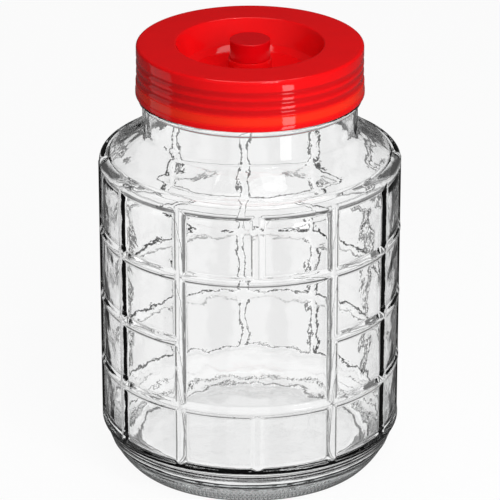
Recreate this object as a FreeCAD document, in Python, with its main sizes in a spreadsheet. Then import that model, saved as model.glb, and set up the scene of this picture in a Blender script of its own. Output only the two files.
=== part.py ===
import FreeCAD, Part
import math
import os
import re

import Sketcher

# A large screw-lid pickling jar. The glass jar is blown in a mould, so its outside carries a
# lattice of upright ribs and level hoops, with one plain panel left on the front for a label.
# The lid is one thin plastic shell whose middle drops into a round recess; a small cap sits on
# the boss that stands in that recess. Z is up, the jar stands on Z = 0 and its front faces -Y.

os.makedirs("parts", exist_ok=True)
document = FreeCAD.newDocument("storage_jar")
sizes = document.addObject("Spreadsheet::Sheet", "sizes")

# ---------------------------------------------------------------- driving sizes, millimetres

DRIVING_SIZES = [
    # body of the jar
    ("jar_radius", "102.5", "outermost radius, over the two edge hoops"),
    ("body_height", "216", "height of the hoop at the shoulder edge"),
    ("heel_height", "28.9", "height of the hoop at the heel edge"),
    ("glass_wall", "4.5", "wall of the body, shoulder and neck"),
    ("glass_bottom", "8", "glass over the middle of the underside"),
    # lattice
    ("rib_count", "12", "places for an upright rib round the jar"),
    ("rib_width", "8.6", "width of a rib on the wall"),
    ("rib_relief", "1.2", "how far a rib stands off the wall"),
    ("hoop_width", "7", "height of a hoop on the wall"),
    ("hoop_relief", "1", "how far a hoop stands off the wall"),
    ("edge_hoop_relief", "1.3", "how far the shoulder and heel hoops stand off the wall"),
    ("edge_hoop_bar", "3.6", "section radius of the shoulder and heel hoops"),
    ("row_share", "0.255", "one full row of cells as a share of the lattice height"),
    # heel and underside
    ("bearing_outer", "86.3", "outer radius of the ring the jar stands on"),
    ("bearing_inner", "79", "inner radius of the ring the jar stands on"),
    ("heel_curve", "52", "radius of the rounded heel seen from the side"),
    ("heel_step", "2", "how far the heel is set in below the heel hoop"),
    ("punt_height", "12", "rise of the underside at its middle"),
    ("punt_flat", "26", "radius of the flat disc in the middle of the underside"),
    ("floor_edge", "12.5", "height of the inner floor at its edge"),
    ("inner_corner", "14", "radius between the inner wall and the floor"),
    # shoulder and neck
    ("shoulder_drop", "11", "from the shoulder hoop down to where the wall turns in"),
    ("shoulder_curve", "27", "radius of the outward shoulder curve"),
    ("shoulder_slope", "56", "turn of the shoulder from upright, degrees"),
    ("neck_curve", "6", "radius where the shoulder turns up into the neck"),
    ("neck_radius", "72.4", "outside of the neck"),
    ("neck_length", "17.2", "straight neck below the bead"),
    ("bead_radius", "2.2", "section radius of the bead under the lid"),
    ("bead_stand", "2.9", "how far the bead stands off the neck"),
    ("lip_round", "1.5", "rounding of the mouth"),
    # lid
    ("thread_room", "2", "room for the screw thread between neck and skirt"),
    ("lid_gap", "0.4", "between the bead and the lower edge of the lid"),
    ("lid_wall", "1.8", "wall of the skirt and of the boss"),
    ("lid_plate", "2", "plate of the top ring and of the recess"),
    ("skirt_height", "34.8", "height of the lid from skirt edge to top ring"),
    ("skirt_lip", "3.4", "height of the thick lower edge of the skirt"),
    ("skirt_lip_stand", "0.7", "how far that edge stands off the skirt"),
    ("grip_band", "10.2", "height of the smooth lower band of the skirt"),
    ("grip_band_stand", "0.4", "how far the smooth band stands off the skirt"),
    ("groove_count", "3", "shallow grooves round the skirt"),
    ("groove_pitch", "6.1", "distance between grooves"),
    ("groove_width", "4.4", "width of a groove"),
    ("groove_depth", "0.6", "depth of a groove"),
    ("lid_edge_round", "2", "rounding of the top outer edge"),
    ("recess_radius", "49.7", "mouth of the recess in the top"),
    ("recess_depth", "19.5", "floor of the recess below the top ring"),
    ("recess_draw", "5.7", "how far the recess wall leans in"),
    ("recess_bevel", "3", "height of the bevel at the foot of the recess wall"),
    ("recess_bevel_run", "5.4", "width of the bevel at the foot of the recess wall"),
    ("recess_round", "1.2", "rounding of the recess mouth"),
    # vent boss and its cap
    ("cap_radius", "13.5", "outside of the vent cap"),
    ("cap_height", "13.1", "height of the vent cap"),
    ("cap_wall", "1.5", "wall of the vent cap"),
    ("cap_stand", "2.6", "how far the cap stands above the top ring"),
    ("cap_clearance", "0.1", "between the cap and the spigot inside it"),
    ("cap_round", "0.6", "rounding of the cap's edges"),
    ("boss_ledge", "0.9", "width of the ledge the cap sits on"),
    ("boss_draw", "0.6", "how much wider the boss is at its foot"),
]

# Sizes that follow from the driving ones.
DERIVED_SIZES = [
    ("wall_radius", "=jar_radius - edge_hoop_relief"),
    ("inner_radius", "=wall_radius - glass_wall"),
    ("lattice_height", "=body_height - heel_height"),
    ("row_height", "=lattice_height * row_share"),
    ("hoop_2_height", "=body_height - row_height"),
    ("hoop_3_height", "=body_height - 2 * row_height"),
    ("hoop_4_height", "=body_height - 3 * row_height"),
    ("rib_bar", "=(rib_width^2 / 4 + rib_relief^2) / (2 * rib_relief)"),
    ("rib_centre", "=wall_radius + rib_relief - rib_bar"),
    ("hoop_bar", "=(hoop_width^2 / 4 + hoop_relief^2) / (2 * hoop_relief)"),
    ("hoop_centre", "=wall_radius + hoop_relief - hoop_bar"),
    ("rib_step", "=360 / rib_count"),
    ("heel_radius", "=wall_radius - heel_step"),
    ("heel_top", "=heel_height - 2 * edge_hoop_bar"),
    ("punt_span", "=bearing_inner - punt_flat"),
    ("punt_curve", "=(punt_span^2 + punt_height^2) / (2 * punt_height)"),
    ("floor_height", "=punt_height + glass_bottom"),
    ("floor_drop", "=floor_height - floor_edge"),
    ("floor_span", "=inner_radius - inner_corner - punt_flat"),
    ("floor_curve", "=(floor_span^2 + floor_drop^2) / (2 * floor_drop)"),
    ("turn_height", "=body_height - shoulder_drop"),
    ("slope_cos", "=cos(shoulder_slope)"),
    ("slope_sin", "=sin(shoulder_slope)"),
    ("slope_run", "=wall_radius - neck_radius - (shoulder_curve + neck_curve) * (1 - slope_cos)"),
    ("outer_turn_radius", "=wall_radius - shoulder_curve * (1 - slope_cos)"),
    ("outer_turn_height", "=turn_height + shoulder_curve * slope_sin"),
    ("outer_foot_radius", "=outer_turn_radius - slope_run"),
    ("outer_foot_height", "=outer_turn_height + slope_run * slope_cos / slope_sin"),
    ("neck_foot_height", "=outer_foot_height + neck_curve * slope_sin"),
    ("neck_inner", "=neck_radius - glass_wall"),
    ("bead_centre", "=neck_radius + bead_stand - bead_radius"),
    ("bead_height", "=neck_foot_height + neck_length + bead_radius"),
    ("lid_height", "=bead_height + bead_radius + lid_gap"),
    ("mouth_height", "=lid_height + skirt_height - lid_plate"),
    ("skirt_inner", "=neck_radius + thread_room"),
    ("skirt_radius", "=skirt_inner + lid_wall"),
    ("groove_bar", "=(groove_width^2 / 4 + groove_depth^2) / (2 * groove_depth)"),
    ("first_groove", "=grip_band + groove_width / 2 + 0.6"),
    ("recess_foot", "=recess_radius - recess_draw"),
    ("recess_floor", "=skirt_height - recess_depth"),
    ("recess_bevel_top", "=recess_floor + recess_bevel"),
    ("recess_floor_edge", "=recess_foot - recess_bevel_run"),
    ("spigot_radius", "=cap_radius - cap_wall - cap_clearance"),
    ("boss_radius", "=cap_radius + boss_ledge"),
    ("boss_foot", "=boss_radius + boss_draw"),
    ("ledge_height", "=skirt_height + cap_stand - cap_height"),
    ("spigot_top", "=ledge_height + cap_height - cap_wall - cap_clearance"),
]

for row, (alias, value, meaning) in enumerate(DRIVING_SIZES, start=1):
    sizes.set(f"A{row}", value)
    sizes.setAlias(f"A{row}", alias)
    sizes.set(f"B{row}", meaning)
for row, (alias, formula) in enumerate(DERIVED_SIZES, start=1):
    sizes.set(f"D{row}", formula)
    sizes.setAlias(f"D{row}", alias)
document.recompute()


# ---------------------------------------------------------------- helpers

ALIASES = {row[0] for row in DRIVING_SIZES + DERIVED_SIZES}


def over_sheet(text):
    """Write a formula over the sheet's aliases as an expression other objects can use."""
    return re.sub(r"[a-z]\w*", lambda word: "sizes." * (word[0] in ALIASES) + word[0], text)


def number(text):
    """Value of a formula over the sheet."""
    return float(sizes.evalExpression(over_sheet(text)))


def origin_feature(body, role):
    """One of the body's own origin planes or axes."""
    return next(item for item in body.Origin.OriginFeatures if item.Role == role)


def new_body(name):
    """One separate piece of the real object."""
    body = document.addObject("PartDesign::Body", name)
    body.Label = name
    return body


def new_sketch(body, name, role, level="0"):
    """An empty sketch on an origin plane, raised by a level taken from the sheet."""
    sketch = body.newObject("Sketcher::SketchObject", name)
    sketch.AttachmentSupport = (origin_feature(body, role), [""])
    sketch.MapMode = "FlatFace"
    if level != "0":
        sketch.setExpression("AttachmentOffset.Base.z", over_sheet(level))
    return sketch


def pin(sketch, kind, geometry, point, text):
    """Hold one coordinate of a sketch point at a formula; zero means on the axis."""
    if text == "0":
        axis = -2 if kind == "DistanceX" else -1
        sketch.addConstraint(Sketcher.Constraint("PointOnObject", geometry, point, axis))
        return
    index = sketch.addConstraint(Sketcher.Constraint(kind, -1, 1, geometry, point, number(text)))
    sketch.setExpression(f"Constraints[{index}]", over_sheet(text))


def arc_between(start, end, radius, turn):
    """Short arc between two points; turn +1 runs anticlockwise, -1 clockwise."""
    chord = end - start
    side = FreeCAD.Vector(-chord.y, chord.x, 0).normalize() * turn
    rise = math.sqrt(max(radius ** 2 - (chord.Length / 2) ** 2, 0.0))
    centre = (start + end) * 0.5 + side * rise
    first, last = (start, end) if turn > 0 else (end, start)
    from_angle = math.atan2(first.y - centre.y, first.x - centre.x)
    to_angle = math.atan2(last.y - centre.y, last.x - centre.x)
    if to_angle <= from_angle:
        to_angle += 2 * math.pi
    circle = Part.Circle(centre, FreeCAD.Vector(0, 0, 1), radius)
    return Part.ArcOfCircle(circle, from_angle, to_angle)


def section(body, name, corners):
    """Closed half section on the XZ plane.

    Each corner is (radius, height) or (radius, height, curve, turn); the longer form reaches
    its corner by an arc of that curve radius. All values are formulas over the sheet.
    """
    sketch = new_sketch(body, name, "XZ_Plane")
    points = [FreeCAD.Vector(number(corner[0]), number(corner[1]), 0) for corner in corners]
    starts = []
    ends = []
    for index, corner in enumerate(corners):
        start, end = points[index - 1], points[index]
        if len(corner) == 2:
            sketch.addGeometry(Part.LineSegment(start, end), False)
            starts.append(1)
            ends.append(2)
            continue
        curve, turn = corner[2:]
        sketch.addGeometry(arc_between(start, end, number(curve), turn), False)
        starts.append(1 if turn > 0 else 2)
        ends.append(2 if turn > 0 else 1)
    for index, corner in enumerate(corners):
        following = (index + 1) % len(corners)
        joint = Sketcher.Constraint("Coincident", index, ends[index], following, starts[following])
        sketch.addConstraint(joint)
        pin(sketch, "DistanceX", index, ends[index], corner[0])
        pin(sketch, "DistanceY", index, ends[index], corner[1])
        if len(corner) == 4:
            held = sketch.addConstraint(Sketcher.Constraint("Radius", index, number(corner[2])))
            sketch.setExpression(f"Constraints[{held}]", over_sheet(corner[2]))
    return sketch


def round_bar(body, name, role, across, along, radius, level="0"):
    """Sketch of one circle: the section of a rib, a hoop, a bead or a groove."""
    sketch = new_sketch(body, name, role, level)
    centre = FreeCAD.Vector(number(across), number(along), 0)
    sketch.addGeometry(Part.Circle(centre, FreeCAD.Vector(0, 0, 1), number(radius)), False)
    pin(sketch, "DistanceX", 0, 3, across)
    pin(sketch, "DistanceY", 0, 3, along)
    held = sketch.addConstraint(Sketcher.Constraint("Radius", 0, number(radius)))
    sketch.setExpression(f"Constraints[{held}]", over_sheet(radius))
    return sketch


def turned(body, name, sketch, angle="360", cut=False):
    """Turn a sketch about the upright axis, evenly to both sides of its plane."""
    feature = body.newObject("PartDesign::Groove" if cut else "PartDesign::Revolution", name)
    feature.Profile = sketch
    feature.ReferenceAxis = (sketch, ["V_Axis"])
    feature.Midplane = True
    feature.setExpression("Angle", over_sheet(angle))
    return settled(body, feature, -1 if cut else 1)


def raised(body, name, sketch, length):
    """Pad a sketch upward."""
    feature = body.newObject("PartDesign::Pad", name)
    feature.Profile = sketch
    feature.setExpression("Length", over_sheet(length))
    return settled(body, feature, 1)


def rounded(body, name, radius, rings):
    """Round the whole circular edges that lie at the given (radius, height) places."""
    places = [(number(ring_radius), number(ring_height)) for ring_radius, ring_height in rings]
    base = body.Tip
    names = []
    for index, edge in enumerate(base.Shape.Edges, start=1):
        centre = edge.CenterOfMass
        here = (edge.Length / (2 * math.pi), centre.z)
        on_axis = math.hypot(centre.x, centre.y) < 0.01
        if on_axis and any(math.dist(here, place) < 0.01 for place in places):
            names.append(f"Edge{index}")
    if len(names) != len(places):
        raise RuntimeError(f"{name} found {len(names)} of {len(places)} edges")
    feature = body.newObject("PartDesign::Fillet", name)
    feature.Base = (base, names)
    feature.setExpression("Radius", over_sheet(radius))
    return settled(body, feature, 0)


volumes = {}


def settled(body, feature, sense):
    """Recompute with the new feature as tip; sense +1 must add material, -1 remove, 0 either."""
    body.Tip = feature
    document.recompute()
    change = feature.Shape.Volume - volumes.get(body.Name, 0.0)
    volumes[body.Name] = feature.Shape.Volume
    print(f"{body.Label:10} {feature.Name:16} {change / 1000:+10.2f} cm3")
    if change * sense < 0:
        raise RuntimeError(f"{feature.Name} changed the volume the wrong way")
    return feature


# ---------------------------------------------------------------- glass jar

glass_jar = new_body("glass_jar")

# The mould's plain form: domed underside, bearing ring, rounded heel, straight wall, shoulder
# curving in to the neck, and the neck running up to the mouth.
outer_section = section(glass_jar, "outer_section", [
    ("0", "punt_height"),
    ("punt_flat", "punt_height"),
    ("bearing_inner", "0", "punt_curve", -1),
    ("bearing_outer", "0"),
    ("heel_radius", "heel_top", "heel_curve", 1),
    ("wall_radius", "heel_height"),
    ("wall_radius", "turn_height"),
    ("outer_turn_radius", "outer_turn_height", "shoulder_curve", 1),
    ("outer_foot_radius", "outer_foot_height"),
    ("neck_radius", "neck_foot_height", "neck_curve", -1),
    ("neck_radius", "mouth_height"),
    ("0", "mouth_height"),
])
turned(glass_jar, "outer_form", outer_section)

# Level hoops. The two at the ends of the lattice edge the shoulder and the heel; hoop 3 stops
# at the two ribs beside the label panel, so it runs round the back only.
HOOPS = [
    ("hoop_1", "XZ_Plane", "body_height", "jar_radius - edge_hoop_bar", "edge_hoop_bar", "360"),
    ("hoop_2", "XZ_Plane", "hoop_2_height", "hoop_centre", "hoop_bar", "360"),
    ("hoop_3", "YZ_Plane", "hoop_3_height", "hoop_centre", "hoop_bar", "360 - 2 * rib_step"),
    ("hoop_4", "XZ_Plane", "hoop_4_height", "hoop_centre", "hoop_bar", "360"),
    ("hoop_5", "XZ_Plane", "heel_height", "jar_radius - edge_hoop_bar", "edge_hoop_bar", "360"),
]
for name, role, height, centre, bar, angle in HOOPS:
    turned(glass_jar, name, round_bar(glass_jar, name + "_bar", role, centre, height, bar), angle)

# Upright ribs: one beside the label panel, repeated round the jar to the panel's other side.
side_bar = round_bar(
    glass_jar, "side_rib_bar", "XY_Plane",
    "rib_centre * sin(rib_step)", "-1 * rib_centre * cos(rib_step)", "rib_bar", "heel_height")
side_rib = raised(glass_jar, "side_rib", side_bar, "lattice_height")
rib_ring = glass_jar.newObject("PartDesign::PolarPattern", "rib_ring")
rib_ring.Originals = [side_rib]
rib_ring.Axis = (side_bar, ["N_Axis"])
rib_ring.setExpression("Angle", over_sheet("360 - 2 * rib_step"))
rib_ring.setExpression("Occurrences", over_sheet("rib_count - 1"))
settled(glass_jar, rib_ring, 1)

# The front rib is broken by the label panel: it stands in the bottom and the top row only.
for name, level, length in [
    ("front_rib_low", "heel_height", "hoop_4_height - heel_height"),
    ("front_rib_high", "hoop_2_height", "row_height"),
]:
    front_bar = round_bar(
        glass_jar, name + "_bar", "XY_Plane", "0", "-1 * rib_centre", "rib_bar", level)
    raised(glass_jar, name, front_bar, length)

# Bead round the neck, just under the lid.
turned(glass_jar, "bead", round_bar(
    glass_jar, "bead_bar", "XZ_Plane", "bead_centre", "bead_height", "bead_radius"))

# The inside follows the outside at the thickness of the glass.
inner_section = section(glass_jar, "inner_section", [
    ("0", "floor_height"),
    ("punt_flat", "floor_height"),
    ("inner_radius - inner_corner", "floor_edge", "floor_curve", -1),
    ("inner_radius", "floor_edge + inner_corner", "inner_corner", 1),
    ("inner_radius", "turn_height"),
    ("outer_turn_radius - glass_wall * slope_cos",
     "outer_turn_height - glass_wall * slope_sin", "shoulder_curve - glass_wall", 1),
    ("outer_foot_radius - glass_wall * slope_cos",
     "outer_foot_height - glass_wall * slope_sin"),
    ("neck_inner", "neck_foot_height", "neck_curve + glass_wall", -1),
    ("neck_inner", "mouth_height"),
    ("0", "mouth_height"),
])
turned(glass_jar, "inside", inner_section, cut=True)
rounded(glass_jar, "lip", "lip_round", [
    ("neck_radius", "mouth_height"),
    ("neck_inner", "mouth_height"),
])
rounded(glass_jar, "bearing", "lip_round", [
    ("bearing_outer", "0"),
    ("bearing_inner", "0"),
])


# ---------------------------------------------------------------- screw lid

screw_lid = new_body("screw_lid")
screw_lid.setExpression("Placement.Base.z", "sizes.lid_height")

# One even shell: skirt with its thick lower edge, top ring, recess, boss and cap spigot.
lid_section = section(screw_lid, "lid_section", [
    ("skirt_inner", "0"),
    ("skirt_radius + skirt_lip_stand", "0"),
    ("skirt_radius + skirt_lip_stand", "skirt_lip"),
    ("skirt_radius + grip_band_stand", "skirt_lip + skirt_lip_stand - grip_band_stand"),
    ("skirt_radius + grip_band_stand", "grip_band - grip_band_stand"),
    ("skirt_radius", "grip_band"),
    ("skirt_radius", "skirt_height"),
    ("recess_radius", "skirt_height"),
    ("recess_foot", "recess_bevel_top"),
    ("recess_floor_edge", "recess_floor"),
    ("boss_foot", "recess_floor"),
    ("boss_radius", "ledge_height"),
    ("spigot_radius", "ledge_height"),
    ("spigot_radius", "spigot_top"),
    ("0", "spigot_top"),
    ("0", "spigot_top - lid_wall"),
    ("spigot_radius - lid_wall", "spigot_top - lid_wall"),
    ("spigot_radius - lid_wall", "ledge_height - lid_wall"),
    ("boss_radius - lid_wall", "ledge_height - lid_wall"),
    ("boss_foot - lid_wall", "recess_floor - lid_plate"),
    ("recess_floor_edge + lid_plate / 2", "recess_floor - lid_plate"),
    ("recess_foot + lid_plate", "recess_bevel_top - lid_plate / 2"),
    ("recess_radius + lid_plate", "skirt_height - lid_plate"),
    ("skirt_inner", "skirt_height - lid_plate"),
])
turned(screw_lid, "shell", lid_section)

# Shallow grooves round the upper skirt give the hand a hold.
groove_bar = round_bar(
    screw_lid, "groove_bar", "XZ_Plane",
    "skirt_radius + groove_bar - groove_depth", "first_groove", "groove_bar")
groove = turned(screw_lid, "groove", groove_bar, cut=True)
groove_row = screw_lid.newObject("PartDesign::LinearPattern", "groove_row")
groove_row.Originals = [groove]
groove_row.Direction = (groove_bar, ["V_Axis"])
groove_row.setExpression("Length", over_sheet("groove_pitch * (groove_count - 1)"))
groove_row.setExpression("Occurrences", over_sheet("groove_count"))
settled(screw_lid, groove_row, -1)
rounded(screw_lid, "top_edge", "lid_edge_round", [("skirt_radius", "skirt_height")])
rounded(screw_lid, "recess_edge", "recess_round", [
    ("recess_radius", "skirt_height"),
    ("recess_floor_edge", "recess_floor"),
    ("recess_foot", "recess_bevel_top"),
    ("boss_foot", "recess_floor"),
])


# ---------------------------------------------------------------- vent cap

# A small cup, open below, that is pushed over the spigot and sits on the boss's ledge.
vent_cap = new_body("vent_cap")
vent_cap.setExpression("Placement.Base.z", over_sheet("lid_height + ledge_height"))
cap_section = section(vent_cap, "cap_section", [
    ("cap_radius - cap_wall", "0"),
    ("cap_radius", "0"),
    ("cap_radius", "cap_height"),
    ("0", "cap_height"),
    ("0", "cap_height - cap_wall"),
    ("cap_radius - cap_wall", "cap_height - cap_wall"),
])
turned(vent_cap, "cup", cap_section)
rounded(vent_cap, "cap_edges", "cap_round", [("cap_radius", "cap_height"), ("cap_radius", "0")])


# ---------------------------------------------------------------- check and write the pieces

document.recompute()
for item in document.Objects:
    if "Invalid" in item.State or "Error" in item.State:
        raise RuntimeError(f"{item.Name} did not compute: {item.State}")

for body in (glass_jar, screw_lid, vent_cap):
    shape = body.Shape
    if shape.isNull() or not shape.isValid() or len(shape.Solids) != 1:
        raise RuntimeError(f"{body.Label} is not one valid solid")
    box = shape.BoundBox
    print(f"{body.Label:10} {shape.Volume / 1000:8.1f} cm3, faces {len(shape.Faces)}, "
          f"z {box.ZMin:.2f} to {box.ZMax:.2f}, widths {box.XLength:.2f} x {box.YLength:.2f}")
    shape.exportStep(f"parts/{body.Label}.step")
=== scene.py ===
# %% [markdown]
# # A lattice glass storage jar with a red screw lid
# A wide pickling jar of pressed glass, about seven litres, closed by a red plastic screw lid with
# a round recess and a small vent cap. The jar is clear, so its looks come from how the glass
# bends light at every rib, hoop and ripple; the lid is glossy plastic with soft reflections.
# Everything stands on z = 0, in the same place as the CAD model. The scene is in metres, and
# sizes are written in millimetres until a mesh or a node tree is made from them.

# %% Load the CAD frame
import math

import bmesh
import bpy
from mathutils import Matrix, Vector


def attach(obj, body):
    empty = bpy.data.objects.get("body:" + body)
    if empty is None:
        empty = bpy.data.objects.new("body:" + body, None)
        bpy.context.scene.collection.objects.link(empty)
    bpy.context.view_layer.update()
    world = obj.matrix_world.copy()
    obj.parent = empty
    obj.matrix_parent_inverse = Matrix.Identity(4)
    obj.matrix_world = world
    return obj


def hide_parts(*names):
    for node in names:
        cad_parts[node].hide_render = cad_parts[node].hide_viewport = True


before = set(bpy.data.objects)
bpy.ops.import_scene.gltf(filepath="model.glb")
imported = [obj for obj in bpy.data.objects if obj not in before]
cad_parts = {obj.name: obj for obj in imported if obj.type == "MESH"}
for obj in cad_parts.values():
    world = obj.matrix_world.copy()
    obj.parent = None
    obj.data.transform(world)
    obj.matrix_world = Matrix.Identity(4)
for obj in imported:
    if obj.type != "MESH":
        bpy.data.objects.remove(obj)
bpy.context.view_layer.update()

MM = 0.001
print("nodes", sorted(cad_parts))

# %% [markdown]
# ## Outlines and turned forms
# All three pieces are turned forms: a half section swept once round the upright axis. A section
# is a list of corners, and a corner may be rounded. Working the outline out from a few named
# sizes, instead of drawing it by hand, keeps the glass at an even thickness. A Screw modifier
# could turn it too, but rings made in code can stand close together just where they are needed.

# %% Outline helpers
corner_spacing = 0.4  # mm between the points of a rounded corner


def arc(start, end, radius, turn, step):
    """Points after start up to end on an arc of that radius; turn 1 bends left, -1 right."""
    (r0, z0), (r1, z1) = start, end
    half = math.hypot(r1 - r0, z1 - z0) / 2
    rise = turn * math.sqrt(radius ** 2 - half ** 2) / (2 * half)
    centre_r = (r0 + r1) / 2 - (z1 - z0) * rise
    centre_z = (z0 + z1) / 2 + (r1 - r0) * rise
    first = math.atan2(z0 - centre_z, r0 - centre_r)
    sweep = turn * 2 * math.asin(half / radius)
    count = max(3, round(abs(sweep) * radius / step))
    angles = [first + sweep * i / count for i in range(1, count + 1)]
    return [(centre_r + radius * math.cos(a), centre_z + radius * math.sin(a)) for a in angles]


def line(start, end, step):
    """Points after start up to end on a straight run, no further apart than step."""
    count = max(1, math.ceil(math.dist(start, end) / step - 1e-6))
    return [tuple(s + (e - s) * i / count for s, e in zip(start, end)) for i in range(1, count + 1)]


def softened(corners, step):
    """The outline through (r, z, rounding) corners, each rounded by its own radius."""
    points = [corners[0][:2]]
    for before, corner, after in zip(corners, corners[1:], corners[2:]):
        here = Vector(corner[:2])
        back = (Vector(before[:2]) - here).normalized()
        ahead = (Vector(after[:2]) - here).normalized()
        opening = back.angle(ahead)
        if corner[2] and opening < math.pi - 0.01:
            reach = corner[2] / math.tan(opening / 2)
            turn = 1 if back.cross(ahead) < 0 else -1
            start, end = tuple(here + back * reach), tuple(here + ahead * reach)
            points += line(points[-1], start, step)
            points += arc(start, end, corner[2], turn, corner_spacing)
        else:
            points += line(points[-1], tuple(here), step)
    return points + line(points[-1], corners[-1][:2], step)


# %% Turning a section into a closed mesh
def turned(name, section, angles):
    """A closed mesh from a half section in mm that starts and ends on the axis."""
    form = bmesh.new()
    rings = []
    for r, z in section:
        if r < 1e-6:
            rings.append([form.verts.new((0, 0, z * MM))])
        else:
            rings.append([
                form.verts.new((r * MM * math.sin(a), -r * MM * math.cos(a), z * MM))
                for a in angles
            ])
    count = len(angles)
    for lower, upper in zip(rings, rings[1:]):
        for i in range(count):
            j = (i + 1) % count
            corners = [lower[i % len(lower)], lower[j % len(lower)],
                       upper[j % len(upper)], upper[i % len(upper)]]
            corners = list(dict.fromkeys(corners))
            if len(corners) > 2:
                form.faces.new(corners)
    bmesh.ops.recalc_face_normals(form, faces=form.faces)
    mesh = bpy.data.meshes.new(name)
    form.to_mesh(mesh)
    form.free()
    mesh.shade_smooth()
    piece = bpy.data.objects.new(name, mesh)
    bpy.context.scene.collection.objects.link(piece)
    print(name, len(mesh.vertices), "vertices,", len(mesh.polygons), "faces")
    return piece


# %% [markdown]
# ## Sizes of the glass
# The wall is 4.5 mm thick and nearly even, the underside is thicker and domed up so that the jar
# stands on a narrow ring. The lattice is twelve places for an upright rib and five level hoops.

# %% Body of the jar, in mm
jar_radius, bar_stand, glass_wall = 102.5, 1.3, 4.5
wall_radius = jar_radius - bar_stand
inner_radius = wall_radius - glass_wall
body_height, heel_height, row_share = 216.0, 28.9, 0.255
row_height = (body_height - heel_height) * row_share
hoop_levels = [body_height - i * row_height for i in range(4)] + [heel_height]
edge_bar = 3.6  # the round of the lowest hoop
print("wall radius", round(wall_radius, 1), "hoops at", [round(z, 1) for z in hoop_levels])

# %% [markdown]
# The jar stands on the ring between the two bearing radii. Inside that ring the underside rises
# in a low dome, the punt, and the inner floor follows it. A low, wide dome is right for clear
# glass: a tall one would throw a dark patch across the front.

# %% Foot and inner floor, in mm
bearing_outer, bearing_inner, heel_curve = 86.3, 79.0, 52.0
punt_height, punt_flat = 4.0, 26.0
glass_bottom, floor_edge, floor_flat, inner_corner = 14.0, 14.0, 26.0, 22.0
floor_height = punt_height + glass_bottom
print("floor of the jar from", floor_edge, "to", floor_height)

# %% [markdown]
# The shoulder turns in at a slope and runs up into a plain neck with a bead. The lid's plate
# rests on the mouth, and its lower edge stays just clear of the bead, so the height of the mouth
# follows from the lid's.

# %% Shoulder, neck and mouth, in mm
shoulder_curve, inner_curve, neck_curve = 27.0, 10.0, 6.0
shoulder_drop, slope = 11, math.radians(56)
neck_radius, neck_length, bead_radius = 72.4, 17.2, 2.2
neck_inner = neck_radius - glass_wall
skirt_height, lid_plate, lid_gap = 34.8, 2.0, 0.4

turn_height = body_height - shoulder_drop
slope_run = (wall_radius - neck_radius
             - (shoulder_curve + neck_curve) * (1 - math.cos(slope)))
turn_end = (wall_radius - shoulder_curve * (1 - math.cos(slope)),
            turn_height + shoulder_curve * math.sin(slope))
slope_foot = (turn_end[0] - slope_run, turn_end[1] + slope_run / math.tan(slope))
neck_foot = slope_foot[1] + neck_curve * math.sin(slope)
bead_height = neck_foot + neck_length + bead_radius
lid_height = bead_height + bead_radius + lid_gap
mouth_height = lid_height + (skirt_height - lid_plate)
print("lid from", round(lid_height, 1), "mouth at", round(mouth_height, 1))

# %% [markdown]
# The outline's points stand close where a bar or a small curve has to be drawn, and wide apart
# on plain glass. The hoop and bead zones are how far above and below a hoop or the bead the
# points stay close.

# %% Spacing of the points, in mm
outer_step = {
    "punt": 3.5, "ring": 2, "heel": 1.35, "heel hoop": 0.8, "hoop": 0.85, "cell": 3.4,
    "shoulder": 0.9, "slope": 2, "neck curve": 1, "neck": 2, "bead": 0.5, "under lid": 4,
    "lip": 0.6}
inner_step = {"neck": 3, "curve": 1.5, "slope": 2.5, "wall": 4.6, "floor": 3.2}
hoop_zone, bead_zone, lip_curve = 5, 3, 1.5


def rounded_end(start, end, span):
    """The radius of the arc that leaves a level run and falls over that span."""
    return (span ** 2 + (start - end) ** 2) / (2 * abs(start - end))


def wall_levels(low, high, near, far):
    """Heights up the wall, close together at the hoops and wider apart between them."""
    levels = [low]
    while levels[-1] < high - near:
        gap = min(abs(levels[-1] + near / 2 - hoop) for hoop in hoop_levels)
        levels.append(levels[-1] + (near if gap < hoop_zone else far))
    return levels[1:-1] + [high]


# %% Outside of the glass, from the middle of the foot up
heel_top = (wall_radius - 2, heel_height - 2 * edge_bar)
punt_curve = rounded_end(punt_height, 0, bearing_inner - punt_flat)
outside = [(0, punt_height), (punt_flat / 2, punt_height), (punt_flat, punt_height)]
outside += arc(outside[-1], (bearing_inner, 0.6), punt_curve, -1, outer_step["punt"])
outside += [(bearing_inner + 0.5, 0.15), (bearing_inner + 1.5, 0)]
outside += line(outside[-1], (bearing_outer - 1.5, 0), outer_step["ring"])
outside += [(bearing_outer - 0.4, 0.25), (bearing_outer + 0.4, 0.9)]
outside += arc(outside[-1], heel_top, heel_curve, 1, outer_step["heel"])
outside += line(outside[-1], (wall_radius, heel_height), outer_step["heel hoop"])
levels = wall_levels(heel_height, turn_height, outer_step["hoop"], outer_step["cell"])
outside += [(wall_radius, level) for level in levels]
outside += arc(outside[-1], turn_end, shoulder_curve, 1, outer_step["shoulder"])
outside += line(outside[-1], slope_foot, outer_step["slope"])
outside += arc(outside[-1], (neck_radius, neck_foot), neck_curve, -1, outer_step["neck curve"])
outside += line(outside[-1], (neck_radius, bead_height - bead_zone), outer_step["neck"])
outside += line(outside[-1], (neck_radius, bead_height + bead_zone), outer_step["bead"])
outside += line(outside[-1], (neck_radius, mouth_height - lip_curve), outer_step["under lid"])
outside += arc(outside[-1], (neck_radius - lip_curve, mouth_height), lip_curve, 1,
               outer_step["lip"])
print("outline rows outside", len(outside))

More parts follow.
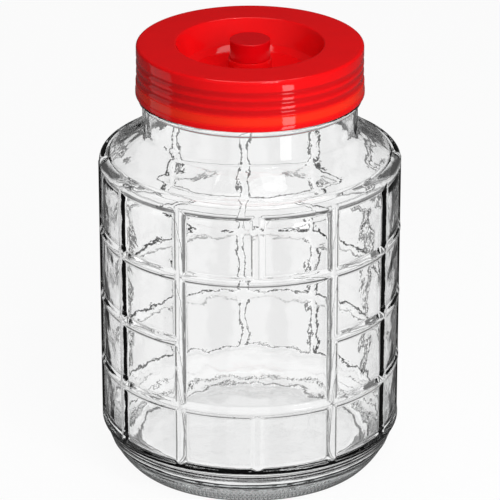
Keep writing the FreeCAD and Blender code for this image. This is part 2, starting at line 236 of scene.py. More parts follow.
# %% Inside of the glass, from the mouth down
corner_height = turn_height + (shoulder_curve - glass_wall) * math.tan(slope / 2)
inner_turn_height = corner_height - inner_curve * math.tan(slope / 2)
inner_turn = (inner_radius - inner_curve * (1 - math.cos(slope)),
              inner_turn_height + inner_curve * math.sin(slope))
inner_foot = (slope_foot[0] - glass_wall * math.cos(slope),
              slope_foot[1] - glass_wall * math.sin(slope))
floor_end = inner_radius - inner_corner
floor_curve = rounded_end(floor_height, floor_edge, floor_end - floor_flat)
inside = [(neck_inner + lip_curve, mouth_height)]
inside += arc(inside[-1], (neck_inner, mouth_height - lip_curve), lip_curve, 1,
              outer_step["lip"])
inside += line(inside[-1], (neck_inner, neck_foot), inner_step["neck"])
inside += arc(inside[-1], inner_foot, neck_curve + glass_wall, 1, inner_step["curve"])
inside += line(inside[-1], inner_turn, inner_step["slope"])
inside += arc(inside[-1], (inner_radius, inner_turn_height), inner_curve, -1, inner_step["curve"])
inside += line(inside[-1], (inner_radius, floor_edge + inner_corner), inner_step["wall"])
inside += arc(inside[-1], (floor_end, floor_edge), inner_corner, -1, inner_step["curve"])
inside += arc(inside[-1], (floor_flat, floor_height), floor_curve, 1, inner_step["floor"])
inside += [(floor_flat / 2, floor_height), (0, floor_height)]
print("outline rows inside", len(inside))

# %% [markdown]
# ## The glass jar
# The mould has the ribs and hoops cut into it, so on the jar they stand proud of the wall and
# melt into it and into each other. Each is part of a round bar sunk in the wall: at every point
# the tree works out how far out the nearest bar reaches and takes the larger radius with a soft
# blend, which gives the small fillets that fire-polished glass has. The front keeps a blank
# panel for a label: hoop 3 stops beside it and the front rib is broken. Separate bars joined by
# booleans would also do, but every seam would then need its own fillet; one displaced surface
# stays closed and smooth, and the tree's named inputs move the whole lattice at once.

# %% Columns round the jar, gathered at the ribs
rib_count = 12
rib_place = 360 / rib_count
near_rib = [0.5, 1.0, 1.4, 1.75, 2.05, 2.35, 2.7, 3.3, 5.2, 8.3, 11.6]
pattern = [0.0] + near_rib + [rib_place / 2] + [rib_place - a for a in reversed(near_rib)]
columns = [math.radians(rib_place * k + a) for k in range(rib_count) for a in pattern]
blank = turned("glass_jar_form", outside + inside, columns)
print("columns", len(columns))

# %% Mark the inner wall
# The outline's first row is a single point on the axis; every other outer row is a full ring.
inner_mark = blank.data.attributes.new("inner_wall", "FLOAT", "POINT")
outer_count = 1 + (len(outside) - 1) * len(columns)
for index in range(len(blank.data.vertices)):
    inner_mark.data[index].value = 1.0 if index >= outer_count else 0.0
print("inner wall marked on", len(blank.data.vertices) - outer_count, "points")


# %% A small helper for building node trees
class Tree:
    """Adds nodes to a tree by type and joins them, so that a formula reads in order."""

    def __init__(self, tree):
        self.tree = tree

    def add(self, kind, **settings):
        node = self.tree.nodes.new(kind)
        for key, value in settings.items():
            setattr(node, key, value)
        return node

    def feed(self, socket, value):
        """Links an output to the socket, or sets the socket to a plain value."""
        if isinstance(value, bpy.types.NodeSocket):
            self.tree.links.new(value, socket)
        else:
            socket.default_value = value

    def math(self, operation, *values, clamp=False):
        node = self.add("ShaderNodeMath", operation=operation, use_clamp=clamp)
        for socket, value in zip(node.inputs, values):
            self.feed(socket, value)
        return node.outputs[0]

    def times(self, *values):
        """The product of all the values."""
        product = values[0]
        for value in values[1:]:
            product = self.math("MULTIPLY", product, value)
        return product

    def opposite(self, share):
        """What is left of 1."""
        return self.math("SUBTRACT", 1.0, share)

    def bell(self, value, middle, width):
        """1 at the middle, falling to nothing on both sides within about twice the width."""
        off = self.math("DIVIDE", self.math("SUBTRACT", value, middle), width)
        return self.math("EXPONENT", self.times(off, off, -1.0))

    def axes(self, vector):
        """The x, y and z of a vector."""
        split = self.add("ShaderNodeSeparateXYZ")
        self.feed(split.inputs[0], vector)
        return split.outputs

    def axis_distance(self, x, y):
        """How far a point is from the upright axis."""
        return self.math("SQRT", self.math("ADD", self.times(x, x), self.times(y, y)))


# %% Making and running a Geometry Nodes tree
def geometry_tree(name, inputs):
    """A new Geometry Nodes tree with a geometry input and output and these named sizes."""
    group = bpy.data.node_groups.new(name, "GeometryNodeTree")
    group.interface.new_socket("Geometry", in_out="INPUT", socket_type="NodeSocketGeometry")
    group.interface.new_socket("Geometry", in_out="OUTPUT", socket_type="NodeSocketGeometry")
    for label, value in inputs.items():
        kind = "NodeSocketInt" if isinstance(value, int) else "NodeSocketFloat"
        group.interface.new_socket(label, in_out="INPUT", socket_type=kind)
    return group


def applied(piece, group, values, name):
    """Runs the tree on the piece with these input values and returns a plain mesh object."""
    modifier = piece.modifiers.new("shaping", "NODES")
    modifier.node_group = group
    for item in group.interface.items_tree:
        if item.item_type == "SOCKET" and item.in_out == "INPUT" and item.name in values:
            modifier[item.identifier] = values[item.name]
    graph = bpy.context.evaluated_depsgraph_get()
    mesh = bpy.data.meshes.new_from_object(piece.evaluated_get(graph))
    piece.modifiers.remove(modifier)
    mesh.name = name
    result = bpy.data.objects.new(name, mesh)
    bpy.context.scene.collection.objects.link(result)
    bpy.data.objects.remove(piece)
    print(name, "has", len(mesh.polygons), "faces after", group.name)
    return result


# %% [markdown]
# A bar has a size, which is its own radius, and stands proud of the wall by its stand. The front
# rib is drawn from a larger bar and sunk a little, so that its short pieces above and below the
# label panel are flatter and softer than the other ribs. The cells between the bars lie a
# little deeper than the plain wall, and no bar reaches past the widest radius.

# %% Sizes that drive the lattice tree, in metres
hoop_bar, hoop_stand = 5.6, 1.25
top_bar, top_stand = 6.0, 0.8
lattice_sizes = {
    "Rib Count": rib_count,
    "Rib Bar": 5.93 * MM,
    "Rib Reach": jar_radius * MM,
    "Front Extra": 3.0 * MM,
    "Front Sink": 0.4 * MM,
    "Hoop Bar": hoop_bar * MM,
    "Hoop Centre": (wall_radius + hoop_stand - hoop_bar) * MM,
    "Widest": (jar_radius - 0.02) * MM,
    "Cell Sink": 0.3 * MM,
    "Edge Bar": edge_bar * MM,
    "Edge Centre": (jar_radius - edge_bar) * MM,
    "Top Bar": top_bar * MM,
    "Top Centre": (wall_radius + top_stand - top_bar) * MM,
    "Top Hoop": body_height * MM,
    "Heel Hoop": heel_height * MM,
    "Row Height": row_height * MM,
    "Bead Height": bead_height * MM,
    "Bead Centre": (neck_radius + 0.7) * MM,
    "Bead Bar": bead_radius * MM,
    "Ridge Height": 14.5 * MM,
    "Ridge Width": 0.9 * MM,
    "Ridge Stand": 0.35 * MM,
    "Fillet": 0.45 * MM,
    "Wander": 0.35 * MM,
    "Seed": 11,
}
lattice = geometry_tree("pressed_lattice", lattice_sizes)
print(len(lattice_sizes), "named sizes")

# %% Start of the lattice tree: where a point is, and how far a bar reaches there
t = Tree(lattice)
given = t.add("NodeGroupInput").outputs
position = t.add("GeometryNodeInputPosition").outputs[0]
x, y, z = t.axes(position)
radius = t.axis_distance(x, y)
turn = t.math("ARCTAN2", x, t.math("MULTIPLY", y, -1.0))
rib_step = t.math("DIVIDE", math.tau, given["Rib Count"])


def bar_reach(offset, centre, bar):
    """How far out a round bar reaches at that offset from its middle line; 0 off the bar."""
    left = t.math("SUBTRACT", t.times(bar, bar), t.times(offset, offset))
    half = t.math("SQRT", t.math("MAXIMUM", left, 0.0))
    on = t.math("GREATER_THAN", left, 0.0)
    return t.times(t.math("ADD", centre, half), on)


def hoop_reach(level, centre, bar):
    """The reach of a level hoop at that height."""
    return bar_reach(t.math("SUBTRACT", z, level), given[centre], given[bar])


def between(value, low, high):
    """1 where the value lies between the two, 0 elsewhere."""
    return t.times(t.math("GREATER_THAN", value, low), t.math("LESS_THAN", value, high))


# %% [markdown]
# The ribs: each point takes the angle to its nearest rib place, and the bar is seen along that
# direction. The front one is left out between hoops 2 and 4.

# %% Upright ribs
place = t.math("ROUND", t.math("DIVIDE", turn, rib_step))
off_turn = t.math("SUBTRACT", turn, t.times(place, rib_step))
hoop_2 = t.math("SUBTRACT", given["Top Hoop"], given["Row Height"])
hoop_3 = t.math("SUBTRACT", hoop_2, given["Row Height"])
hoop_4 = t.math("SUBTRACT", hoop_3, given["Row Height"])
on_lattice = between(z, given["Heel Hoop"], given["Top Hoop"])
front_place = t.math("LESS_THAN", t.math("ABSOLUTE", place), 0.5)
rib_bar = t.math("ADD", given["Rib Bar"], t.times(front_place, given["Front Extra"]))
rib_centre = t.math("SUBTRACT", given["Rib Reach"], rib_bar)
rib_centre = t.math("SUBTRACT", rib_centre, t.times(front_place, given["Front Sink"]))
sideways = t.times(rib_centre, t.math("SINE", off_turn))
forward = t.times(rib_centre, t.math("COSINE", off_turn))
in_panel = t.times(front_place, between(z, hoop_4, hoop_2))
rib = t.times(bar_reach(sideways, forward, rib_bar), on_lattice, t.opposite(in_panel))

# %% [markdown]
# The hoops: one at each edge of the body and three between, and the bead on the neck is made the
# same way. Hoop 3 runs only where the label panel is not. A smooth maximum joins them all.

# %% Hoops, bead and the outer wall
beside_panel = t.math("GREATER_THAN", t.math("ABSOLUTE", turn), rib_step)
reaches = [
    rib,
    hoop_reach(given["Top Hoop"], "Top Centre", "Top Bar"),
    hoop_reach(hoop_2, "Hoop Centre", "Hoop Bar"),
    t.times(hoop_reach(hoop_3, "Hoop Centre", "Hoop Bar"), beside_panel),
    hoop_reach(hoop_4, "Hoop Centre", "Hoop Bar"),
    hoop_reach(given["Heel Hoop"], "Edge Centre", "Edge Bar"),
    hoop_reach(given["Bead Height"], "Bead Centre", "Bead Bar"),
]
outer = t.math("SUBTRACT", radius, t.times(given["Cell Sink"], on_lattice))
for bar in reaches:
    outer = t.math("SMOOTH_MAX", outer, bar, given["Fillet"])
outer = t.math("MINIMUM", outer, given["Widest"])

# The mould parts along a fine ridge low on the heel.
on_heel = t.math("GREATER_THAN", radius, bearing_outer * MM)
ridge_bell = t.bell(z, given["Ridge Height"], given["Ridge Width"])
outer = t.math("ADD", outer, t.times(ridge_bell, on_heel, given["Ridge Stand"]))

# %% [markdown]
# Air alone shapes the inside of the body, so the inner wall swings by a fraction of a
# millimetre. The swing fades out below the mouth, which a plunger shapes.

# %% Inner wall
swing_scale, swing_detail = 32.0, 1.5
fade_top, fade_length = 0.235, 0.02  # metres
noise = t.add("ShaderNodeTexNoise", noise_dimensions="4D")
t.feed(noise.inputs["Vector"], position)
t.feed(noise.inputs["W"], given["Seed"])
t.feed(noise.inputs["Scale"], swing_scale)
t.feed(noise.inputs["Detail"], swing_detail)
swing = t.times(t.math("SUBTRACT", noise.outputs[0], 0.5), 2.0)
fade = t.math("DIVIDE", t.math("SUBTRACT", fade_top, z), fade_length, clamp=True)
inner = t.math("ADD", radius, t.times(swing, fade, given["Wander"]))

# %% Move every point to its radius
mark = t.add("GeometryNodeInputNamedAttribute", data_type="FLOAT")
mark.inputs["Name"].default_value = "inner_wall"
inner_share = mark.outputs["Attribute"]
wanted = t.math("ADD", t.times(inner, inner_share), t.times(outer, t.opposite(inner_share)))
grow = t.math("DIVIDE", wanted, t.math("MAXIMUM", radius, 1e-6))
target = t.add("ShaderNodeCombineXYZ")
t.feed(target.inputs[0], t.times(x, grow))
t.feed(target.inputs[1], t.times(y, grow))
t.feed(target.inputs[2], z)
moved = t.add("GeometryNodeSetPosition")
t.feed(moved.inputs["Geometry"], given["Geometry"])
t.feed(moved.inputs["Position"], target.outputs[0])
real = t.add("GeometryNodeRealizeInstances")
t.feed(real.inputs[0], moved.outputs[0])
coated = t.add("GeometryNodeSetMaterial")
t.feed(coated.inputs["Geometry"], real.outputs[0])
clear_glass = bpy.data.materials.new("clear_pressed_glass")
coated.inputs["Material"].default_value = clear_glass
t.feed(t.add("NodeGroupOutput").inputs[0], coated.outputs[0])
print(len(lattice.nodes), "nodes in the lattice tree")

# %% Shape the jar
glass_jar = applied(blank, lattice, lattice_sizes, "pressed_glass_jar")
widest = max(math.hypot(v.co.x, v.co.y) for v in glass_jar.data.vertices)
print("widest", round(widest / MM, 2), "mm radius")

# %% [markdown]
# ## The screw lid
# One moulding of even thickness: a skirt with a thick lower edge and three shallow grooves, a
# flat ring on top and a deep round recess with a boss in its middle. Water in the recess would
# seal the jar while its contents ferment. A turned section with every corner softened is all it
# needs; the corners matter most, because they carry the thin bright lines of glossy plastic.

# %% Lid sizes, in mm
skirt_play, skirt_wall, inner_wall = 2, 1.8, 1.8
skirt_inner = neck_radius + skirt_play
skirt_radius = skirt_inner + skirt_wall
edge_radius, edge_height = skirt_radius + 0.7, 3.4
band_radius, band_height = skirt_radius + 0.4, 9.8
recess_radius, recess_foot, recess_depth = 49.7, 44.0, 19.5
recess_floor = skirt_height - recess_depth
groove_width, groove_depth, groove_pitch, first_groove = 4.4, 0.4, 6.1, 13.0
groove_levels = [first_groove + k * groove_pitch for k in range(3)]
print("skirt radius", round(skirt_radius, 1), "grooves at", [round(z, 1) for z in groove_levels])

# %% Boss and cap sizes, in mm
cap_radius, cap_height, cap_wall, cap_above = 13.5, 13.1, 1.5, 2.6
ledge_height = skirt_height + cap_above - cap_height
boss_radius, boss_foot = cap_radius + 0.9, cap_radius + 1.5
spigot_radius = cap_radius - 1.6
spigot_top = ledge_height + cap_height - 1.6
print("cap stands on the ledge at", round(ledge_height, 1))


# %% Lid outline, outside and then underneath
def groove(level):
    """Corners of a shallow hollow in the skirt, with softened rims."""
    low, high = (skirt_radius, level - groove_width / 2), (skirt_radius, level + groove_width / 2)
    bar = (groove_width ** 2 / 4 + groove_depth ** 2) / (2 * groove_depth)
    hollow = arc(low, high, bar, -1, corner_spacing)
    return [(*low, 0.5)] + [(r, z, 0) for r, z in hollow[:-1]] + [(*high, 0.5)]


lid_corners = [
    (skirt_inner, 1.0, 0), (skirt_inner + 0.3, 0, 0.2), (edge_radius, 0, 0.6),
    (edge_radius, edge_height, 0.5), (band_radius, edge_height + 0.35, 0.3),
    (band_radius, band_height, 0.3), (skirt_radius, band_height + 0.4, 0.3)]
for level in groove_levels:
    lid_corners += groove(level)
lid_corners += [
    (skirt_radius, skirt_height, 2.0), (recess_radius, skirt_height, 1.2),
    (recess_foot, recess_floor + 3, 1.2), (recess_foot - 5.4, recess_floor, 1.2),
    (boss_foot, recess_floor, 1.2), (boss_radius, ledge_height, 0.3),
    (spigot_radius, ledge_height, 0.3), (spigot_radius, spigot_top, 0.5), (0, spigot_top, 0)]
under_corners = [
    (0, spigot_top - inner_wall, 0),
    (spigot_radius - inner_wall, spigot_top - inner_wall, 0.4),
    (spigot_radius - inner_wall, ledge_height - inner_wall, 0.3),
    (boss_radius - inner_wall, ledge_height - inner_wall, 0.3),
    (boss_foot - inner_wall, recess_floor - lid_plate, 0.5),
    (recess_foot - 4.4, recess_floor - lid_plate, 0.8),
    (recess_foot + 2, recess_floor + 2, 0.8),
    (recess_radius + 2, skirt_height - lid_plate, 0.6),
    (skirt_inner, skirt_height - lid_plate, 0.6), (skirt_inner, 1.0, 0)]
lid_step, under_step = 2.5, 4
lid_outline = softened(lid_corners, lid_step) + softened(under_corners, under_step)
print("points in the lid's outline", len(lid_outline))


# %% Lid mesh
def shell(name, outline, lift, count):
    """A turned shell from a closed outline whose open ends meet at its first point."""
    angles = [math.tau * i / count for i in range(count)]
    piece = turned(name, [(r, z + lift) for r, z in outline], angles)
    form = bmesh.new()
    form.from_mesh(piece.data)
    bmesh.ops.remove_doubles(form, verts=form.verts, dist=1e-6)
    bmesh.ops.recalc_face_normals(form, faces=form.faces)
    print(name, "open edges", sum(1 for e in form.edges if not e.is_manifold))
    form.to_mesh(piece.data)
    form.free()
    piece.data.shade_smooth()
    return piece


lid_columns = 288
screw_lid = shell("red_screw_lid", lid_outline, lid_height, lid_columns)

# %% [markdown]
# ## The vent cap
# A small cup, open below, pushed over the spigot in the middle of the recess. It is a separate
# moulding in the same red, and its top edge has a fine rounding. It is turned like the lid, with
# fewer columns because it is small, and stays a piece of its own because it comes off.

# %% Vent cap outline and mesh
cap_bore = cap_radius - cap_wall
cap_corners = [
    (cap_bore, 0.3, 0), (cap_radius - 1.2, 0, 0.2), (cap_radius, 0, 0.4),
    (cap_radius, cap_height, 0.6), (0, cap_height, 0)]
cap_under = [(0, cap_height - cap_wall, 0), (cap_bore, cap_height - cap_wall, 0.3),
             (cap_bore, 0.3, 0)]
cap_step, bore_step, cap_columns = 1, 2, 160
cap_outline = softened(cap_corners, cap_step) + softened(cap_under, bore_step)
vent_cap = shell("red_vent_cap", cap_outline, lid_height + ledge_height, cap_columns)

# %% [markdown]
# ## Finishes
# Ripples in glass and the faint orange peel of moulded plastic are the same kind of effect, so
# one shader group makes them both: a height from a broad and a fine noise. Each material gives
# it its own scale and turns the height into a bump on its own shader.

# %% Shared ripple group
def shader_group(name, inputs, outputs):
    """A new shader group with these number inputs and outputs."""
    group = bpy.data.node_groups.new(name, "ShaderNodeTree")
    for label, value in inputs.items():
        socket = group.interface.new_socket(label, in_out="INPUT", socket_type="NodeSocketFloat")
        socket.default_value = value
    for label in outputs:
        group.interface.new_socket(label, in_out="OUTPUT", socket_type="NodeSocketFloat")
    return group


ripple = shader_group(
    "surface_ripple", {"Broad": 30.0, "Fine": 200.0, "Fine Share": 0.2}, ["Height"])
g = Tree(ripple)
ripple_in = g.add("NodeGroupInput").outputs
on_piece = g.add("ShaderNodeTexCoord").outputs["Object"]
layers = []
for label, detail in [("Broad", 1.0), ("Fine", 2.0)]:
    layer = g.add("ShaderNodeTexNoise")
    g.feed(layer.inputs["Vector"], on_piece)
    g.feed(layer.inputs["Scale"], ripple_in[label])
    g.feed(layer.inputs["Detail"], detail)
    layers.append(layer.outputs[0])
both_layers = g.math("ADD", layers[0], g.times(layers[1], ripple_in["Fine Share"]))
g.feed(g.add("NodeGroupOutput").inputs["Height"], both_layers)
print("group", ripple.name)


# %% Helpers for materials
def material_tree(material):
    """Clears the material and returns its tree helper, its shader and its output node."""
    material.use_nodes = True
    material.node_tree.nodes.clear()
    tree = Tree(material.node_tree)
    shader = tree.add("ShaderNodeBsdfPrincipled")
    output = tree.add("ShaderNodeOutputMaterial")
    tree.feed(output.inputs["Surface"], shader.outputs[0])
    return tree, shader, output


def rippled(tree, broad, fine, share):
    """The ripple group placed in a material with its own scales."""
    node = tree.add("ShaderNodeGroup", node_tree=ripple)
    node.inputs["Broad"].default_value = broad
    node.inputs["Fine"].default_value = fine
    node.inputs["Fine Share"].default_value = share
    return node.outputs["Height"]


def bumped(tree, shader, height, distance):
    """Turns a height into a bump of that depth, in metres, on the shader."""
    bump = tree.add("ShaderNodeBump")
    bump.inputs["Strength"].default_value = 1.0
    bump.inputs["Distance"].default_value = distance
    tree.feed(bump.inputs["Height"], height)
    tree.feed(shader.inputs["Normal"], bump.outputs[0])


# %% [markdown]
# ### Clear glass
# Soda-lime glass has no colour in a thin wall and a faint grey one along a rib, where the way
# through it is long, so the colour is an absorption in its volume and its surface is plain
# white; a tinted surface would colour thin and thick glass alike. The skin that touched the
# mould is nearly smooth; the inner one is wavier, and its waves break up the lines behind it.

# %% Clear pressed glass
outer_scales, outer_wave = (18.0, 90.0, 0.05), 0.12
inner_scales = (55.0, 230.0, 0.10)
tree, shader, output = material_tree(clear_glass)
shader.inputs["Transmission Weight"].default_value = 1.0
shader.inputs["IOR"].default_value = 1.5
shader.inputs["Roughness"].default_value = 0.0
shader.inputs["Base Color"].default_value = (1.0, 1.0, 1.0, 1)
inner_side = tree.add("ShaderNodeAttribute", attribute_name="inner_wall").outputs["Fac"]
outer_ripple = tree.times(rippled(tree, *outer_scales), outer_wave)
inner_ripple = tree.times(rippled(tree, *inner_scales), inner_side)
ripples = tree.math("ADD", outer_ripple, inner_ripple)

absorb = tree.add("ShaderNodeVolumeAbsorption")
absorb.inputs["Color"].default_value = (0.80, 0.81, 0.81, 1)
absorb.inputs["Density"].default_value = 16.0
tree.feed(output.inputs["Volume"], absorb.outputs[0])
print("glass has", len(clear_glass.node_tree.nodes), "nodes before its marks")

# %% [markdown]
# The heel carries the mould's marks: two fine lines, and above the bearing edge a ring of short
# knurls that keeps the hot jar off the belt. They are too fine for the mesh, so they are bumps,
# and they stop short of the flat underside.

# %% Moulding marks on the heel
heel_lines = [(14.5, 0.6, 0.7), (22.5, 0.8, 0.5)]  # height, width and stand
knurl_height, knurl_width, knurl_stand = 6.2, 2.2, 0.5
knurl_from, knurl_waves = 84, 200.0
glass_bump = 0.0006

on_x, on_y, on_z = tree.axes(tree.add("ShaderNodeTexCoord").outputs["Object"])
lines = [tree.times(tree.bell(on_z, level * MM, width * MM), stand)
         for level, width, stand in heel_lines]
wave = tree.math("SINE", tree.times(tree.math("ARCTAN2", on_x, on_y), knurl_waves))
off_foot = tree.math("GREATER_THAN", tree.axis_distance(on_x, on_y), knurl_from * MM)
knurls = tree.times(
    tree.bell(on_z, knurl_height * MM, knurl_width * MM), knurl_stand, wave, off_foot)
marks = tree.math("ADD", tree.math("ADD", *lines), knurls)
marks = tree.times(marks, tree.opposite(inner_side))
bumped(tree, shader, tree.math("ADD", ripples, marks), glass_bump)
print("glass ready")

# %% [markdown]
# ### Red plastic
# Polypropylene is slightly translucent. Its red looks deeper in the thin grooves, where less
# light is scattered back, and brighter along the thick lower edge. Subsurface scattering could
# show that at the price of noise; here it is painted into the colour instead, as soft bands of
# painted shade at the grooves and a band of painted glow along the lower edge, which are steady.
# They are kept to the skirt, away from the recess wall at the same height. A weak noise in colour
# and roughness keeps the large plain faces from looking painted.

# %% Red moulded plastic
lid_gloss, cap_gloss, gloss_swing = 0.025, 0.05, 0.03
tone_drop, tone_scale = 0.94, 55.0
peel_scales, peel_depth = (40.0, 700.0, 0.05), 0.0004
painted_bands_from = 60  # mm from the axis


def with_painted_bands(tree, colour, bands):
    """The colour with soft rings of painted shade and painted glow on the skirt; bands lists their
    height, width and painted colour.
    """
    x, y, z = tree.axes(tree.add("ShaderNodeTexCoord").outputs["Object"])
    on_skirt = tree.math("GREATER_THAN", tree.axis_distance(x, y), painted_bands_from * MM)
    for middle, width, painted_colour in bands:
        share = tree.math("DIVIDE", tree.math("SUBTRACT", z, middle * MM), width * MM)
        fourth = tree.math("POWER", tree.math("ABSOLUTE", share), 4.0)
        in_band = tree.times(tree.math("EXPONENT", tree.times(fourth, -1.0)), on_skirt)
        # Each ring blends in its painted colour: painted shade at a groove, painted glow at the
        # lower edge.
        painted_ring = tree.add("ShaderNodeMix", data_type="RGBA")
        tree.feed(painted_ring.inputs["Factor"], in_band)
        tree.feed(painted_ring.inputs["A"], colour)
        painted_ring.inputs["B"].default_value = (*painted_colour, 1)
        colour = painted_ring.outputs["Result"]
    return colour


def red_plastic(name, colour, roughness, bands=()):
    """A glossy red plastic with or without bands on the skirt."""
    material = bpy.data.materials.new(name)
    tree, shader, _ = material_tree(material)
    tone = tree.add("ShaderNodeTexNoise")
    tree.feed(tone.inputs["Vector"], tree.add("ShaderNodeTexCoord").outputs["Object"])
    tone.inputs["Scale"].default_value = tone_scale
    mixed = tree.add("ShaderNodeMix", data_type="RGBA")
    tree.feed(mixed.inputs["Factor"], tone.outputs[0])
    mixed.inputs["A"].default_value = (*[c * tone_drop for c in colour], 1)
    mixed.inputs["B"].default_value = (*colour, 1)
    base = mixed.outputs["Result"]
    tree.feed(shader.inputs["Base Color"], with_painted_bands(tree, base, bands) if bands else base)
    tree.feed(shader.inputs["Roughness"],
              tree.math("MULTIPLY_ADD", tone.outputs[0], gloss_swing, roughness))
    shader.inputs["IOR"].default_value = 1.5
    bumped(tree, shader, rippled(tree, *peel_scales), peel_depth)
    return material


# %% Lid and cap colours
# The cap is moulded in the same red as the lid; its darker red here is painted shade.
plain_red, cap_shaded_red = (0.82, 0.004, 0.006), (0.68, 0.002, 0.005)
# The darker red is painted shade in the grooves and the more orange red a painted glow along the
# thick lower edge, in place of light scattered inside the plastic.
groove_painted_shade, edge_painted_glow = (0.58, 0.004, 0.006), (0.90, 0.026, 0.008)
groove_shade_width, edge_glow_level, edge_glow_width = 2.1, 7.0, 3.2
lid_painted_bands = [(lid_height + level, groove_shade_width, groove_painted_shade) for level in groove_levels]
lid_painted_bands.append((lid_height + edge_glow_level, edge_glow_width, edge_painted_glow))
lid_red = red_plastic("red_lid_plastic", plain_red, lid_gloss, lid_painted_bands)
cap_red = red_plastic("red_cap_plastic", cap_shaded_red, cap_gloss)
screw_lid.data.materials.append(lid_red)
vent_cap.data.materials.append(cap_red)
print("plastics ready, bands at", [round(middle, 1) for middle, _, _ in lid_painted_bands])

# %% [markdown]
# ## Pieces take the CAD nodes' places
# Each finished piece stands for one solid of the CAD model. The part has one body, so all three
# ride on it.

# %% Bodies and nodes
for piece, node, slot in [(glass_jar, "glass_jar", "clear_glass"),
                          (screw_lid, "screw_lid", "red_plastic"),
                          (vent_cap, "vent_cap", "red_cap_plastic")]:
    piece.data.shade_smooth()
    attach(piece, "root")
    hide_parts(node)
    print(piece.name, "replaces", node)

# %% [markdown]
# ## The floor
# A plain pale sheet that runs out of sight. The camera sees it evenly lit, as an over-exposed
# studio ground is, with only a trace of the jar's soft shadow left. Lamps alone could do that
# only by flooding the jar as well, so most of the floor's light is its own. Mirrored in glass or
# plastic it is dim, and it isn't seen through the glass, where the world stands in for it.

# %% Floor
floor_half, floor_level = 4.0, 0.86
glow_share, glow_full, glow_mirrored = 0.93, 1.0, 0.06
ground = bpy.data.meshes.new("floor")
ground.from_pydata(
    [(-floor_half, -floor_half, 0), (floor_half, -floor_half, 0),
     (floor_half, floor_half, 0), (-floor_half, floor_half, 0)], [], [(0, 1, 2, 3)])
floor = bpy.data.objects.new("floor", ground)
bpy.context.scene.collection.objects.link(floor)
pale = bpy.data.materials.new("pale_floor")
tree, shader, output = material_tree(pale)
shader.inputs["Base Color"].default_value = (floor_level, floor_level, floor_level, 1)
shader.inputs["Roughness"].default_value = 0.9
shader.inputs["Specular IOR Level"].default_value = 0.0
path = tree.add("ShaderNodeLightPath").outputs
seen = tree.math("MAXIMUM", path["Is Camera Ray"], path["Is Glossy Ray"])
glow = tree.add("ShaderNodeEmission")
tree.feed(glow.inputs["Strength"],
          tree.math("MULTIPLY_ADD", path["Is Camera Ray"],
                    glow_full - glow_mirrored, glow_mirrored))
blend = tree.add("ShaderNodeMixShader")
tree.feed(blend.inputs[0], tree.times(seen, glow_share))
tree.feed(blend.inputs[1], shader.outputs[0])
tree.feed(blend.inputs[2], glow.outputs[0])
tree.feed(output.inputs["Surface"], blend.outputs[0])
ground.materials.append(pale)
floor.visible_transmission = False
print("floor", 2 * floor_half, "m wide")

# %% [markdown]
# ## The world
# Clear glass shows what stands round it, bent by every rib, so the surroundings draw its lines.
# Rays that have passed through glass see a pale ground with darker parts in fixed directions:
# all along the horizon, and in two upright bands at both sides of every quarter turn, like dark
# cards beside a pale backdrop. The same quarter repeats all round, so the jar is lit alike from
# every side. Cards could be modelled as pieces, but a pattern by direction alone has no depth to
# set up and adds nothing to the scene that the camera might see. Mirrored rays see a dim room
# that is lighter towards the front, and the camera sees plain white.

# %% World set-up and helpers
world = bpy.data.worlds.new("studio")
bpy.context.scene.world = world
world.use_nodes = True
world.node_tree.nodes.clear()
tree = Tree(world.node_tree)
path = tree.add("ShaderNodeLightPath").outputs
east, north, up = tree.axes(tree.add("ShaderNodeTexCoord").outputs["Generated"])


def ramp(value, low, high):
    """0 below low, 1 above high and a straight ramp between them."""
    return tree.math("DIVIDE", tree.math("SUBTRACT", value, low), high - low, clamp=True)


def band(value, low, high, soft):
    """1 between low and high with soft ends."""
    return tree.times(ramp(value, low - soft, low), tree.opposite(ramp(value, high, high + soft)))


# %% What is seen through the glass
# Angles are in degrees: the bearing goes round the jar, the rise is counted from the horizon.
# The whole backdrop is turned a little, to stand square to the side the jar is shown from.
# Levels are brightness, and 1 is plain white.
in_degrees, quarter_turn, backdrop_turn = 180 / math.pi, 90.0, 2.8
ground_plain, ground_lit, card_dark = 1.05, 0.12, 0.9
near_level, above_level, haze = 0.95, 0.90, 0.085
bearing = tree.times(tree.math("ARCTAN2", east, north), in_degrees)
bearing = tree.math("SUBTRACT", bearing, backdrop_turn)
nearest = tree.times(tree.math("ROUND", tree.math("DIVIDE", bearing, quarter_turn)), quarter_turn)
quarter = tree.math("ABSOLUTE", tree.math("SUBTRACT", bearing, nearest))
rise = tree.times(tree.math("ARCSINE", up), in_degrees)

lit = tree.math("MAXIMUM", band(quarter, 8.0, 18.0, 3.0), band(rise, -48.0, -30.0, 3.0))
ground_level = tree.math("MULTIPLY_ADD", lit, ground_lit, ground_plain)
cards = tree.opposite(tree.times(band(quarter, 17.2, 31.0, 1.3), card_dark))
under_horizon = tree.opposite(ramp(rise, -10.5, -4.5))
near_foot = tree.math("MULTIPLY_ADD", ramp(rise, -64.0, -48.0), 1 - near_level, near_level)
below = tree.times(ground_level, cards, under_horizon, near_foot)
above = tree.times(ramp(rise, 10.0, 20.0), above_level)
through = tree.math("ADD", tree.math("ADD", below, above), haze)

# %% What mirrored, diffuse and camera rays see
diffuse_level, room_level, room_front = 0.28, 0.045, 0.12
towards_front = ramp(tree.times(north, -1.0), -0.2, 0.6)
mirrored = tree.math("MULTIPLY_ADD", towards_front, room_front, room_level)
strength = tree.math("ADD", tree.times(through, path["Is Transmission Ray"]),
                     tree.times(mirrored, path["Is Glossy Ray"]))
strength = tree.math("ADD", strength, tree.times(path["Is Diffuse Ray"], diffuse_level))
strength = tree.math("MAXIMUM", strength, path["Is Camera Ray"])
sky = tree.add("ShaderNodeBackground")
tree.feed(sky.inputs["Strength"], strength)
tree.feed(tree.add("ShaderNodeOutputWorld").inputs["Surface"], sky.outputs[0])
print(len(world.node_tree.nodes), "nodes in the world")

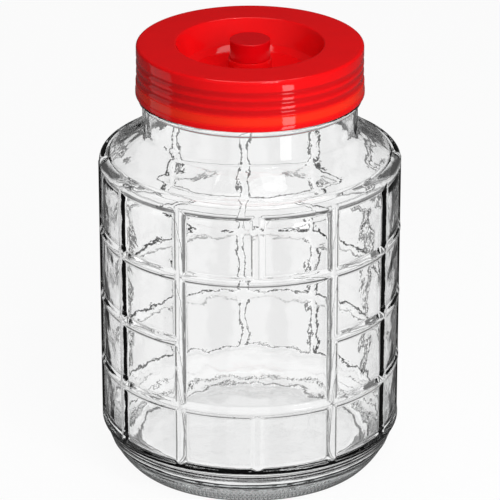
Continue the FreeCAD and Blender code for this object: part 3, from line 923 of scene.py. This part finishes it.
# %% [markdown]
# ## Lamps
# A large soft box in front lights the reds and is mirrored in nothing. A low panel at the left
# and a strip at the right draw upright gleams on the glass, a small high window gives the lid
# its glint, and a wide box overhead, a little behind, whitens the flat ring and the rims.

# %% Placing things round the jar
def placed(name, data, aim_height, azimuth, elevation, distance):
    """An object with that data, so far from the axis in that direction, turned to face it."""
    a, e = math.radians(azimuth), math.radians(elevation)
    back = Vector((math.sin(a) * math.cos(e), -math.cos(a) * math.cos(e), math.sin(e)))
    holder = bpy.data.objects.new(name, data)
    holder.location = Vector((0, 0, aim_height)) + back * distance
    holder.rotation_euler = back.to_track_quat("Z", "Y").to_euler()
    bpy.context.scene.collection.objects.link(holder)
    return holder


# %% Lamps
# Azimuth and elevation in degrees; distance, width and height in metres; power in watts.
lamp_aim = 0.16
lamp_table = {
    "front_box": (22, 34, 1.0, 0.7, 0.7, 7.9),
    "left_panel": (-100, -5, 0.62, 0.34, 0.45, 0.15),
    "window": (27, 62, 1.6, 0.30, 0.08, 3),
    "top_box": (170, 76, 1.8, 1.0, 1.0, 6),
    "strip": (33, -8.5, 0.55, 0.11, 0.12, 0.15),
}
lamps = {}
for name, (azimuth, elevation, distance, width, height, power) in lamp_table.items():
    data = bpy.data.lights.new(name, "AREA")
    data.shape, data.size, data.size_y, data.energy = "RECTANGLE", width, height, power
    lamps[name] = placed(name, data, lamp_aim, azimuth, elevation, distance)
lamps["front_box"].visible_glossy = False
lamps["front_box"].visible_transmission = False
lamps["strip"].visible_transmission = False
print("lamps", sorted(lamps))

# %% [markdown]
# ## Camera
# A long lens from a little to the left and well above, so that the round top is seen into and
# the upright sides stay nearly parallel.

# %% Camera
view_aim, view_azimuth, view_elevation, view_distance = 0.1483, -2.8, 23.2, 2.409
lens = bpy.data.cameras.new("camera")
lens.sensor_width, lens.lens = 36, 253.9
camera = placed("camera", lens, view_aim, view_azimuth, view_elevation, view_distance)
bpy.context.scene.camera = camera
bpy.context.scene.view_settings.view_transform = "Standard"
print("camera at", [round(v, 3) for v in camera.location])
